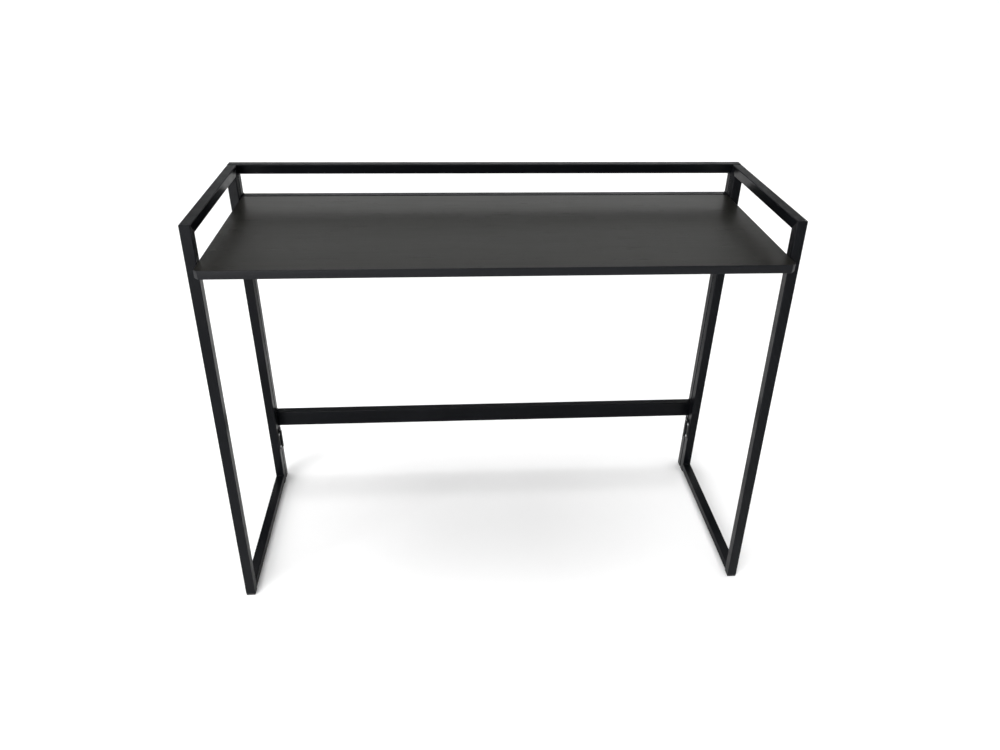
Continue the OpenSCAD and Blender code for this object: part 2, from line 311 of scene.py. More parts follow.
def add_loft(bm, rings, rub=None):
    """Joins rings of points with faces and caps both ends; rub is noted on each ring's points."""
    layer = bm.verts.layers.float.get("rub") or bm.verts.layers.float.new("rub")
    loops = []
    for ring in rings:
        loop = [bm.verts.new(p) for p in ring]
        if rub:
            for vert, value in zip(loop, rub):
                vert[layer] = value
        loops.append(loop)
    for a, b in zip(loops, loops[1:]):
        for i in range(len(a)):
            j = (i + 1) % len(a)
            bm.faces.new((a[i], a[j], b[j], b[i]))
    bm.faces.new(loops[0][::-1])
    bm.faces.new(loops[-1])


def meet(point, axis, plane):
    """Where the line from point along axis meets a plane, given as (point, normal)."""
    on_plane, normal = plane
    return point + axis * ((on_plane - point).dot(normal) / axis.dot(normal))


def add_tube(bm, centre, axis, across, width, height, start, end):
    """A rounded tube along axis between two cut planes, with a fine groove at each cut."""
    axis = axis.normalized()
    up = axis.cross(across).normalized()
    seam = sizes().seam
    stations = ((start, 0, seam / 2), (start, seam, 0), (end, -seam, 0), (end, 0, seam / 2))
    rings = []
    for plane, along, inset in stations:
        section = rounded_section(width - 2 * inset, height - 2 * inset, sizes().tube_round)
        moved = (plane[0] + axis * along, plane[1])
        rings.append([meet(centre + across * a + up * b, axis, moved) for a, b, _ in section])
    rub = [r for _, _, r in rounded_section(width, height, sizes().tube_round)]
    add_loft(bm, rings, rub)


def add_weld(bm, start, end, leg_a, leg_b):
    """A rippled fillet weld in the corner that runs from start to end, between two faces."""
    size = sizes().weld
    length = (end - start).length
    count = max(8, round(length / sizes().weld_pitch * RINGS_PER_RIPPLE))
    rings = []
    for i in range(count + 1):
        share = i / count
        from_start = share * length
        from_end = (1 - share) * length
        fade = min(1, from_start / size + WELD_THIN_END, from_end / size + WELD_THIN_END)
        ripple = math.sin(from_start / sizes().weld_pitch * math.tau)
        leg = size * fade * (1 + WELD_RIPPLE * ripple)
        point = start.lerp(end, share)
        ring = [point]
        for k in range(WELD_FACES + 1):
            t = k / WELD_FACES
            bulge = leg * WELD_BULGE * math.sin(math.pi * t)
            ring.append(point + leg_a * (leg * (1 - t) + bulge) + leg_b * (leg * t + bulge))
        rings.append(ring)
    add_loft(bm, rings)


def round_corners(points, radii, steps=5):
    """An outline with an arc in place of each corner that has a radius."""
    outline = []
    count = len(points)
    for i, (point, radius) in enumerate(zip(points, radii)):
        point = Vector(point)
        back = (Vector(points[i - 1]) - point).normalized()
        on = (Vector(points[(i + 1) % count]) - point).normalized()
        if not radius:
            outline.append(point)
            continue
        half = back.angle(on) / 2
        reach = radius / math.tan(half)
        centre = point + (back + on).normalized() * (radius / math.sin(half))
        first = point + back * reach - centre
        last = point + on * reach - centre
        sweep = first.angle_signed(last)
        for k in range(steps + 1):
            outline.append(centre + Matrix.Rotation(-sweep * k / steps, 2) @ first)
    return outline


def inset_outline(outline, distance, sharpest=0.3):
    """An anticlockwise outline, moved inward; sharpest keeps a sharp corner from overshooting."""
    moved = []
    for i, point in enumerate(outline):
        a = (point - outline[i - 1]).normalized()
        b = (outline[(i + 1) % len(outline)] - point).normalized()
        inward = (Vector((-a.y, a.x)) + Vector((-b.y, b.x))).normalized()
        squareness = inward.dot(Vector((-a.y, a.x)))
        moved.append(point + inward * (distance / max(sharpest, squareness)))
    return moved


def add_slab(bm, outline, origin, across, up, depth, bevel):
    """A slab on an anticlockwise outline, drawn along the vector depth, with bevelled rims."""
    way = depth.normalized()
    stations = ((0, bevel), (bevel, 0), (depth.length - bevel, 0), (depth.length, bevel))
    rings = []
    for along, inset in stations:
        ring = inset_outline(outline, inset) if inset else outline
        rings.append([origin + across * p.x + up * p.y + way * along for p in ring])
    add_loft(bm, rings)


def add_turned(bm, origin, axis, profile, count=32):
    """A turned solid: profile is a list of (distance along axis, radius) from end to end."""
    axis = axis.normalized()
    side = axis.orthogonal().normalized()
    other = axis.cross(side)
    rings = []
    for along, radius in profile:
        centre = origin + axis * along
        rings.append([
            centre + side * radius * math.cos(math.tau * k / count)
            + other * radius * math.sin(math.tau * k / count)
            for k in range(count)
        ])
    add_loft(bm, rings)


def new_piece(nodes, bm, material, body, sharp=38):
    """Makes a piece from a mesh, and lets it stand for CAD nodes of the same name."""
    name = "finished_" + nodes[0]
    bmesh.ops.recalc_face_normals(bm, faces=bm.faces)
    mesh = bpy.data.meshes.new(name)
    bm.to_mesh(mesh)
    bm.free()
    mesh.shade_smooth()
    mesh.set_sharp_from_angle(angle=math.radians(sharp))
    mesh.materials.append(material)
    piece = bpy.data.objects.new(name, mesh)
    bpy.context.scene.collection.objects.link(piece)
    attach(piece, body)
    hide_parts(*nodes)
    return piece


# ---- Finishes ----

def start_material(name, specular=0.5):
    """A new material, its node tree, its shader and an object-space coordinate."""
    material = bpy.data.materials.new(name)
    material.use_nodes = True
    tree = material.node_tree
    tree.nodes.clear()
    shader = tree.nodes.new("ShaderNodeBsdfPrincipled")
    shader.inputs["Specular IOR Level"].default_value = specular
    output = tree.nodes.new("ShaderNodeOutputMaterial")
    tree.links.new(shader.outputs["BSDF"], output.inputs["Surface"])
    coordinate = tree.nodes.new("ShaderNodeTexCoord")
    return material, tree, shader, coordinate.outputs["Object"]


def stretched(tree, coordinate, scale):
    """The coordinate, scaled by axis."""
    mapping = tree.nodes.new("ShaderNodeMapping")
    mapping.inputs["Scale"].default_value = scale
    tree.links.new(coordinate, mapping.inputs["Vector"])
    return mapping.outputs["Vector"]


def noise(tree, coordinate, scale, detail=2.0, roughness=0.5):
    """A noise texture's value."""
    texture = tree.nodes.new("ShaderNodeTexNoise")
    texture.inputs["Scale"].default_value = scale
    texture.inputs["Detail"].default_value = detail
    texture.inputs["Roughness"].default_value = roughness
    tree.links.new(coordinate, texture.inputs["Vector"])
    return texture.outputs["Fac"]


def spread(tree, value, from_low, from_high, to_low=0.0, to_high=1.0):
    """A value, stretched from one range to another and kept inside it."""
    node = tree.nodes.new("ShaderNodeMapRange")
    node.inputs["From Min"].default_value = from_low
    node.inputs["From Max"].default_value = from_high
    node.inputs["To Min"].default_value = to_low
    node.inputs["To Max"].default_value = to_high
    tree.links.new(value, node.inputs["Value"])
    return node.outputs["Result"]


def product(tree, a, b):
    """Two values multiplied."""
    node = tree.nodes.new("ShaderNodeMath")
    node.operation = "MULTIPLY"
    tree.links.new(a, node.inputs[0])
    tree.links.new(b, node.inputs[1])
    return node.outputs["Value"]


def blend_colours(tree, share, a, b):
    """Colour a turning into colour b as share goes from 0 to 1; each is a socket or a triple."""
    node = tree.nodes.new("ShaderNodeMix")
    node.data_type = "RGBA"
    tree.links.new(share, node.inputs["Factor"])
    for socket, value in ((node.inputs[6], a), (node.inputs[7], b)):
        if isinstance(value, bpy.types.NodeSocket):
            tree.links.new(value, socket)
        else:
            socket.default_value = (*value, 1)
    return node.outputs[2]


def add_bump(tree, shader, heights):
    """Chains bumps, given as (height, strength, distance)."""
    normal = None
    for height, strength, distance in heights:
        bump = tree.nodes.new("ShaderNodeBump")
        bump.inputs["Strength"].default_value = strength
        bump.inputs["Distance"].default_value = distance
        tree.links.new(height, bump.inputs["Height"])
        if normal:
            tree.links.new(normal, bump.inputs["Normal"])
        normal = bump.outputs["Normal"]
    tree.links.new(normal, shader.inputs["Normal"])


def powder_coat():
    """Satin black powder coat: cloudy, with a fine orange peel and rubbed corners."""
    material, tree, shader, place = start_material("satin_powder_coat", specular=0.05)
    clouds = spread(tree, noise(tree, place, scale=9, detail=4), 0.35, 0.7)
    ground = blend_colours(tree, clouds, colours().coat, colours().coat_haze)
    corner = tree.nodes.new("ShaderNodeAttribute")
    corner.attribute_name = "rub"
    handling = noise(tree, place, scale=45, detail=5, roughness=0.65)
    patches = spread(tree, handling, 0.5, 0.72, 0.05, 0.35)
    worn = product(tree, corner.outputs["Fac"], patches)
    tree.links.new(blend_colours(tree, worn, ground, colours().rub), shader.inputs["Base Color"])
    gloss = spread(tree, noise(tree, place, scale=30, detail=4), 0.3, 0.7, 0.3, 0.4)
    tree.links.new(gloss, shader.inputs["Roughness"])
    add_bump(tree, shader, (
        (noise(tree, place, scale=1100), 0.22, 0.05 * MM),
        (noise(tree, place, scale=210), 0.12, 0.05 * MM),
    ))
    return material


def hinge_paint():
    """Black paint over pressed steel, a little thinner and glossier than the frame's coat."""
    material, tree, shader, place = start_material("hinge_paint", specular=0.3)
    handling = noise(tree, place, scale=260, detail=5, roughness=0.6)
    colour = blend_colours(
        tree, spread(tree, handling, 0.55, 0.75), colours().coat, colours().rub)
    tree.links.new(colour, shader.inputs["Base Color"])
    gloss = spread(tree, noise(tree, place, scale=120, detail=3), 0.3, 0.7, 0.3, 0.42)
    tree.links.new(gloss, shader.inputs["Roughness"])
    add_bump(tree, shader, ((noise(tree, place, scale=1600, detail=3), 0.25, 0.04 * MM),))
    return material


def metal(name, colour, roughness, mark_scale):
    """Bare or plated steel with fine turning marks, duller and darker between them."""
    material, tree, shader, place = start_material(name)
    marks = noise(tree, stretched(tree, place, mark_scale), scale=1, detail=4, roughness=0.6)
    dull = [c * 0.8 for c in colour]
    tone = blend_colours(tree, spread(tree, marks, 0.3, 0.7), dull, colour)
    tree.links.new(tone, shader.inputs["Base Color"])
    gloss = spread(tree, marks, 0.3, 0.7, roughness, roughness + 0.15)
    tree.links.new(gloss, shader.inputs["Roughness"])
    shader.inputs["Metallic"].default_value = 1
    add_bump(tree, shader, ((marks, 0.2, 0.03 * MM),))
    return material


def laminate():
    """Satin desktop laminate with a fine grain that runs along the desk's width."""
    material, tree, shader, place = start_material("grained_laminate", specular=0.12)
    along_width = stretched(tree, place, (1.4, 22, 22))
    figure = noise(tree, along_width, scale=1, detail=5, roughness=0.55)
    fine_lines = stretched(tree, place, (9, 420, 420))
    streaks = noise(tree, fine_lines, scale=1, detail=3, roughness=0.6)
    broad = spread(tree, figure, 0.3, 0.7, 0.35, 1.0)
    share = product(tree, broad, spread(tree, streaks, 0.25, 0.75))
    colour = blend_colours(tree, share, colours().laminate, colours().grain)
    tree.links.new(colour, shader.inputs["Base Color"])
    gloss = spread(tree, streaks, 0.3, 0.7, 0.27, 0.36)
    tree.links.new(gloss, shader.inputs["Roughness"])
    add_bump(tree, shader, (
        (streaks, 0.18, 0.08 * MM),
        (noise(tree, place, scale=700), 0.08, 0.05 * MM),
    ))
    return material


def backing_paper():
    """Plain backing sheet under the board."""
    material, tree, shader, place = start_material("backing_paper")
    lay = stretched(tree, place, (60, 240, 60))
    fibres = noise(tree, lay, scale=1, detail=5, roughness=0.6)
    colour = blend_colours(tree, fibres, colours().coat, colours().backing)
    tree.links.new(colour, shader.inputs["Base Color"])
    shader.inputs["Roughness"].default_value = 0.62
    add_bump(tree, shader, ((fibres, 0.15, 0.05 * MM),))
    return material


def band_plastic():
    """Edge band: the laminate's finish, plainer and a little bluer."""
    material, tree, shader, place = start_material("edge_band_plastic", specular=0.1)
    fine_lines = stretched(tree, place, (14, 14, 480))
    streaks = noise(tree, fine_lines, scale=1, detail=4, roughness=0.55)
    pale = [c * 1.5 for c in colours().band]
    colour = blend_colours(tree, spread(tree, streaks, 0.3, 0.7), colours().band, pale)
    tree.links.new(colour, shader.inputs["Base Color"])
    gloss = spread(tree, streaks, 0.3, 0.7, 0.36, 0.48)
    tree.links.new(gloss, shader.inputs["Roughness"])
    add_bump(tree, shader, ((streaks, 0.14, 0.05 * MM),))
    return material


def glide_plastic():
    """Moulded black plastic with a fine spark texture, scuffed by the floor."""
    material, tree, shader, place = start_material("glide_plastic", specular=0.3)
    scratches = noise(tree, place, scale=420, detail=5, roughness=0.65)
    scuffs = spread(tree, scratches, 0.5, 0.75)
    scuffed = [c * 4 for c in colours().glide]
    colour = blend_colours(tree, scuffs, colours().glide, scuffed)
    tree.links.new(colour, shader.inputs["Base Color"])
    shader.inputs["Roughness"].default_value = 0.58
    add_bump(tree, shader, ((noise(tree, place, scale=2600), 0.3, 0.04 * MM),))
    return material


FINISHES = {
    "satin_powder_coat": powder_coat,
    "hinge_paint": hinge_paint,
    "pin_steel": lambda: metal("pin_steel", colours().pin, 0.36, (900, 900, 90)),
    "rivet_steel": lambda: metal("rivet_steel", colours().steel, 0.24, (700, 700, 700)),
    "peg_zinc": lambda: metal("peg_zinc", colours().zinc, 0.34, (500, 500, 60)),
    "grained_laminate": laminate,
    "backing_paper": backing_paper,
    "edge_band_plastic": band_plastic,
    "glide_plastic": glide_plastic,
}


def finish(name):
    """A finish by name, made the first time that it is asked for."""
    return bpy.data.materials.get(name) or FINISHES[name]()


# ---- Tubes and rails ----

def coated(node, bm):
    """A powder-coated piece of the frame body."""
    return new_piece([node], bm, finish("satin_powder_coat"), "frame")


def post_mitre(side):
    """The cut between a post and the rear top rail."""
    return Vector((side * HALF_W, 0, TOP_Z)), Vector((side, 0, -1))


FRONT_MITRE = (
    Vector((0, CROWN_Y, TOP_Z)),
    X.cross(Vector((0, leg_y(TOP_Z - TUBE) + RUN - CROWN_Y, -TUBE))),
)
REAR_MITRE = (Vector((0, WING_Y, TOP_Z)), Vector((0, 1, -1)))
TUBE_END = (Vector((0, 0, TUBE_END_Z)), Z)


def make_cross_rail(node):
    """A rail between the posts, welded over and under at both ends."""
    bm = bmesh.new()
    size = extent(node)
    ends = [(Vector((x, 0, 0)), X) for x in (-INNER_X, INNER_X)]
    add_tube(bm, middle(node), X, Y, size.y, size.z, *ends)
    weld_y = (POST_Y + sizes().tube_round, REAR_Y - sizes().tube_round)
    for side in SIDES.values():
        for z, way in ((high(node).z, 1), (low(node).z, -1)):
            start, end = (Vector((side * INNER_X, y, z)) for y in weld_y)
            add_weld(bm, start, end, -side * X, way * Z)
    coated(node, bm)


def make_rear_frame():
    """Posts, top rail, desk rail and stretcher."""
    for name, side in SIDES.items():
        bm = bmesh.new()
        centre = Vector((side * (HALF_W - TUBE / 2), middle("rear_top_rail").y, 0))
        add_tube(bm, centre, Z, X, TUBE, TUBE, TUBE_END, post_mitre(side))
        coated(f"rear_post_{name}", bm)
    bm = bmesh.new()
    add_tube(bm, middle("rear_top_rail"), X, Y, TUBE, TUBE, post_mitre(-1), post_mitre(1))
    weld_y = (POST_Y + sizes().tube_round, REAR_Y - sizes().tube_round)
    for side in SIDES.values():
        start, end = (Vector((side * INNER_X, y, TOP_Z - TUBE)) for y in weld_y)
        add_weld(bm, start, end, -side * X, -Z)
    coated("rear_top_rail", bm)
    make_cross_rail("rear_desk_rail")
    make_cross_rail("stretcher")


def corner_line(side, y, z):
    """The two ends of an inner corner that runs across a side frame's tube."""
    margin = sizes().tube_round
    return [Vector((side * x, y, z)) for x in (INNER_X + margin, HALF_W - margin)]


def make_side_frame(name, side):
    """One side frame: raked front leg, plumb rear leg, top rail and bottom rail."""
    centre_x = side * (HALF_W - TUBE / 2)
    leg_way = Vector((0, LEAN, 1)).normalized()
    rail_under = TOP_Z - TUBE
    rail_over = TUBE_END_Z + TUBE

    bm = bmesh.new()
    leg_centre = Vector((centre_x, FOOT_Y + RUN / 2, TUBE_END_Z))
    add_tube(bm, leg_centre, leg_way, X, TUBE, TUBE, TUBE_END, FRONT_MITRE)
    coated(f"{name}_front_leg", bm)

    bm = bmesh.new()
    leg_centre = Vector((centre_x, WING_Y - TUBE / 2, TUBE_END_Z))
    add_tube(bm, leg_centre, Z, X, TUBE, TUBE, TUBE_END, REAR_MITRE)
    coated(f"{name}_rear_leg", bm)

    bm = bmesh.new()
    rail_centre = Vector((centre_x, 0, TOP_Z - TUBE / 2))
    add_tube(bm, rail_centre, Y, X, TUBE, TUBE, FRONT_MITRE, REAR_MITRE)
    start, end = corner_line(side, leg_y(rail_under) + RUN, rail_under)
    add_weld(bm, start, end, Y, -leg_way)
    start, end = corner_line(side, LEG_FRONT_Y, rail_under)
    add_weld(bm, start, end, -Y, -Z)
    coated(f"{name}_top_rail", bm)

    bm = bmesh.new()
    rail_centre = Vector((centre_x, 0, TUBE_END_Z + TUBE / 2))
    leg_back = (Vector((0, FOOT_Y + RUN, TUBE_END_Z)), X.cross(leg_way))
    leg_front = (Vector((0, LEG_FRONT_Y, 0)), Y)
    add_tube(bm, rail_centre, Y, X, TUBE, TUBE, leg_back, leg_front)
    start, end = corner_line(side, leg_y(rail_over) + RUN, rail_over)
    add_weld(bm, start, end, Y, leg_way)
    start, end = corner_line(side, LEG_FRONT_Y, rail_over)
    add_weld(bm, start, end, -Y, Z)
    coated(f"{name}_bottom_rail", bm)


# ---- Hinges ----

def leaf_outline(width, length, notch, own_ends):
    """A leaf's outline, out from the hinge's axis and up.

    own_ends is true for the leaf that has the knuckles at both ends. The other has the middle one.
    """
    third = length / 3
    gap = KNUCKLE_GAP
    round_far = sizes().leaf_round
    far = [((width, 0), round_far), ((width, length), round_far)]
    if own_ends:
        near = [(0, length), (0, 2 * third + gap), (notch, 2 * third + gap),
                (notch, third - gap), (0, third - gap)]
        corners = [((0, 0), 0), *far, *[(p, 0) for p in near]]
    else:
        near = [(notch, length), (notch, 2 * third), (0, 2 * third), (0, third), (notch, third)]
        corners = [((notch, 0), 0), *far, *[(p, 0) for p in near]]
    return round_corners([p for p, _ in corners], [r for _, r in corners])


def add_curl(bm, axis_point, toward_tube, away, z_low, z_high, outer):
    """The part of a leaf that curls round the pin, from the plate round to a narrow slot."""
    inner = outer - sizes().leaf
    section = (
        (inner, z_low + RIM), (inner + RIM, z_low), (outer - RIM, z_low), (outer, z_low + RIM),
        (outer, z_high - RIM), (outer - RIM, z_high), (inner + RIM, z_high), (inner, z_high - RIM),
    )
    rings = []
    for i in range(CURL_STEPS + 1):
        angle = CURL_TURN * i / CURL_STEPS
        spoke = toward_tube * math.cos(angle) + away * math.sin(angle)
        rings.append([axis_point + spoke * r + Z * z for r, z in section])
    add_loft(bm, rings)


def make_leaf(name, side, level, kind):
    """One leaf with its knuckles. The post's leaf has the outer two, the wing's the middle one."""
    node = f"{name}_{level}_{kind}_leaf"
    size = extent(node)
    outer = size.x / 2
    third = size.z / 3
    pin = middle(f"{name}_{level}_pin")
    foot = Vector((side * INNER_X, pin.y, low(node).z))
    if kind == "post":
        across, up = Y, Z
        own = ((0, third - KNUCKLE_GAP), (2 * third + KNUCKLE_GAP, size.z))
    else:
        across, up = -Y, -Z
        foot.z = high(node).z
        own = ((third, 2 * third),)
    outline = leaf_outline(size.y - outer, size.z, outer + NOTCH_PLAY, kind == "post")
    bm = bmesh.new()
    add_slab(bm, outline, foot, across, up, -side * X * sizes().leaf, RIM)
    axis_point = Vector((pin.x, pin.y, low(node).z))
    for start, end in own:
        add_curl(bm, axis_point, side * X, -across, start, end, outer)
    new_piece([node], bm, finish("hinge_paint"), "frame")


def make_pin(name, level):
    """A hinge pin: a shank with a low domed head at each end."""
    node = f"{name}_{level}_pin"
    shank = sizes().pin
    head = extent(node).x / 2
    length = extent(node).z
    start = [(0, PIN_FLAT)]
    for angle in quarter_turn(6)[1:]:
        start.append((PIN_CAP * (1 - math.cos(angle)), head * math.sin(angle)))
    profile = start + [(PIN_CAP, shank), (length - PIN_CAP, shank)]
    profile += [(length - along, radius) for along, radius in reversed(start)]
    bm = bmesh.new()
    foot = middle(node) - Z * length / 2
    add_turned(bm, foot, Z, profile)
    new_piece([node], bm, finish("pin_steel"), "frame")


def rivet_profile(radius, depth):
    """A blind rivet from its buried shank to a domed head with the broken mandrel's dimple."""
    buried = [(-depth, RIVET_SHANK), (0, RIVET_SHANK), (0, radius)]
    dome = [(0.45, 0.97), (0.8, 0.8), (1, 0.55), (0.96, 0.42), (0.5, 0.38), (0.45, 0.05)]
    return buried + [(RIVET_HEAD * up, radius * out) for up, out in dome]


def make_rivets(node, sides):
    """The bright blind rivets of one kind of leaf, on one side frame or on both posts."""
    radius = extent(node).y / 2
    profile = rivet_profile(radius, sizes().leaf)
    bm = bmesh.new()
    for name in sides:
        face_x = SIDES[name] * (INNER_X - sizes().leaf)
        reach = (high(node).z - radius) - middle(f"{name}_upper_pin").z
        for level in LEVELS:
            pin = middle(f"{name}_{level}_pin")
            for step in (-reach, reach):
                spot = Vector((face_x, middle(node).y, pin.z + step))
                add_turned(bm, spot, -SIDES[name] * X, profile, count=24)
    new_piece([node], bm, finish("rivet_steel"), "frame")


# ---- Glides ----

def make_glide(node, side, front, run, lean):
    """A square glide: a chamfered sole under the tube and a plug inside it.

    front is the tube's front face, run its depth along Y, and lean its rake.
    """
    inset = low(node).y - front
    size_x = TUBE - 2 * inset
    size_y = run - 2 * inset
    chamfer = sizes().glide_round
    centre = Vector((side * (HALF_W - TUBE / 2), front + run / 2, 0))
    neck_z = TUBE_END_Z - SOLE_LIP
    bm = bmesh.new()
    rings = []
    for z, less in ((0, chamfer), (chamfer, 0), (neck_z, 0), (TUBE_END_Z, SOLE_LIP)):
        section = rounded_section(size_x - 2 * less, size_y - 2 * less, SOLE_CORNER)
        rings.append([centre + X * a + Y * b + Z * z for a, b, _ in section])
    add_loft(bm, rings)
    plug_top = high(node).z
    rings = []
    for z in (neck_z, plug_top - PLUG_LEAD, plug_top):
        less = PLUG_INSET + (PLUG_TAPER if z == plug_top else 0)
        section = rounded_section(TUBE - 2 * less, run - 2 * less, PLUG_CORNER)
        shift = Y * lean * max(0, z - TUBE_END_Z)
        rings.append([centre + shift + X * a + Y * b + Z * z for a, b, _ in section])
    add_loft(bm, rings)
    new_piece([node], bm, finish("glide_plastic"), "frame")


# ---- Supports ----

def drill(piece, spot, radius, depth):
    """Cuts a round hole upward from a spot into a piece's mesh."""
    bm = bmesh.new()
    add_turned(bm, spot, Z, [(0, radius), (depth, radius)], count=40)
    bmesh.ops.recalc_face_normals(bm, faces=bm.faces)
    mesh = bpy.data.meshes.new("hole")
    bm.to_mesh(mesh)
    bm.free()
    cutter = bpy.data.objects.new("hole", mesh)
    bpy.context.scene.collection.objects.link(cutter)
    cut = piece.modifiers.new("hole", "BOOLEAN")
    cut.operation = "DIFFERENCE"
    cut.solver = "EXACT"
    cut.object = cutter
    bpy.context.view_layer.update()
    graph = bpy.context.evaluated_depsgraph_get()
    drilled = bpy.data.meshes.new_from_object(piece.evaluated_get(graph))
    piece.modifiers.clear()
    piece.data = drilled
    bpy.data.objects.remove(cutter)


def make_tab(name, side, place):
    """A flat drilled tab: a front tab is welded to its leg, a rear tab laps under the desk rail."""
    node = f"{name}_{place}_tab"
    peg = f"{name}_{place}_peg"
    size = extent(node)
    thick = BOARD_UNDER - low(node).z
    corner = sizes().tab_round
    at_front = place == "front"
    free = [corner, corner, 0, 0]
    if at_front:
        free = [0, corner, corner, 0] if side < 0 else [corner, 0, 0, corner]
    points = [(0, 0), (size.x, 0), (size.x, size.y), (0, size.y)]
    bm = bmesh.new()
    add_slab(bm, round_corners(points, free), low(node), X, Y, Z * thick, TAB_RIM)
    if high(node).z > BOARD_UNDER + TAB_RIM:
        lap = size.y - (POST_Y - low(node).y)
        foot = Vector((low(node).x, POST_Y, BOARD_UNDER))
        packing = [Vector(p) for p in ((0, 0), (size.x, 0), (size.x, lap), (0, lap))]
        add_slab(bm, packing, foot, X, Y, Z * (high(node).z - BOARD_UNDER), TAB_RIM)
    margin = corner / 2
    if at_front:
        for y, way in ((low(node).y, -1), (high(node).y, 1)):
            root = Vector((side * INNER_X, y, low(node).z))
            add_weld(bm, root, root + Z * margin / 2, -side * X, way * Y)
        weld_y = (low(node).y + margin, high(node).y - margin)
        start, end = (Vector((side * INNER_X, y, low(node).z)) for y in weld_y)
        add_weld(bm, start, end, -side * X, -Z)
    else:
        rail_under = low("rear_desk_rail").z
        weld_y = (POST_Y + margin, high(node).y - RIM)
        for x, way in ((low(node).x, -1), (high(node).x, 1)):
            start, end = (Vector((x, y, rail_under)) for y in weld_y)
            add_weld(bm, start, end, way * X, -Z)
    tab = coated(node, bm)
    spot = Vector((middle(peg).x, middle(peg).y, low(node).z - thick))
    drill(tab, spot, extent(peg).x / 2 + sizes().peg_play, 3 * thick)


def make_peg(node):
    """A plated peg with a rounded tip, set in the board and standing down through its tab."""
    size = extent(node)
    radius = size.x / 2
    profile = []
    for angle in reversed(quarter_turn(4)[1:]):
        along = PEG_TIP - PEG_TIP * math.sin(angle)
        profile.append((along, radius - PEG_TIP * (1 - math.cos(angle))))
    profile += [(PEG_TIP, radius), (size.z - TAB_RIM, radius), (size.z, radius - TAB_RIM)]
    foot = middle(node) - Z * size.z / 2
    bm = bmesh.new()
    add_turned(bm, foot, Z, profile)
    new_piece([node], bm, finish("peg_zinc"), "desktop")


# ---- Desktop ----

def make_board():
    """The board: laminate above and backing paper below."""
    node = "desktop_board"
    first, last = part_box(node)
    # The core's own cut corner is smaller than the one outside the band.
    cut = CORNER_CUT - BAND * (2 - math.sqrt(2))
    outline = [Vector(p) for p in (
        (last.x - cut, first.y), (last.x, first.y + cut), (last.x, last.y),
        (first.x, last.y), (first.x, first.y + cut), (first.x + cut, first.y),
    )]
    bm = bmesh.new()
    foot = Vector((0, 0, first.z))
    add_slab(bm, outline, foot, X, Y, Z * (last.z - first.z), BOARD_RIM)
    for face in bm.faces:
        face.material_index = 1 if face.calc_center_median().z < first.z + MM else 0
    board = new_piece(
        [node], bm, finish("grained_laminate"), "desktop", sharp=20)
    board.data.materials.append(finish("backing_paper"))


def make_band(node, path):
    """An edge band along an open path of (x, y) points, its outer face on the path's right."""
    edge = sizes().board_round
    if BOARD_TOP - BOARD_UNDER <= 2 * edge:
        raise ValueError("the board is too thin for its band's edges")
    arc = quarter_turn(4)
    section = [(BAND, BOARD_UNDER), (BAND, BOARD_TOP)]
    section += [(edge * (1 - math.sin(a)), BOARD_TOP - edge * (1 - math.cos(a))) for a in arc]
    section += [
        (edge * (1 - math.cos(a)), BOARD_UNDER + edge * (1 - math.sin(a))) for a in arc
    ]
    points = [Vector(p) for p in path]
    rings = []
    for i, point in enumerate(points):
        a = (point - points[i - 1]).normalized() if i else None
        b = (points[i + 1] - point).normalized() if i + 1 < len(points) else None
        a, b = a or b, b or a
        normal_a = Vector((-a.y, a.x))
        inward = (normal_a + Vector((-b.y, b.x))).normalized()
        inward /= inward.dot(normal_a)
        rings.append([Vector((*(point + inward * d), z)) for d, z in section])
    bm = bmesh.new()
    add_loft(bm, rings)
    new_piece([node], bm, finish("edge_band_plastic"), "desktop", sharp=30)


def make_bands():
    """The four edge bands; the front one runs round both cut corners."""
    side_y = BOARD_FRONT + CORNER_CUT
    near_x = BOARD_X - CORNER_CUT
    ring = [(-BOARD_X, BOARD_REAR), (-BOARD_X, side_y), (-near_x, BOARD_FRONT),
            (near_x, BOARD_FRONT), (BOARD_X, side_y), (BOARD_X, BOARD_REAR)]
    bent = round_corners(ring, [0, 0, BAND_BEND, BAND_BEND, 0, 0], steps=4)
    make_band("front_edge_band", [tuple(p) for p in bent[1:-1]])
    make_band("rear_edge_band", [(BOARD_X, BOARD_REAR), (-BOARD_X, BOARD_REAR)])
    make_band("left_edge_band", [(-BOARD_X, BOARD_REAR - BAND), (-BOARD_X, side_y)])
    make_band("right_edge_band", [(BOARD_X, side_y), (BOARD_X, BOARD_REAR - BAND)])


# ---- Studio ----

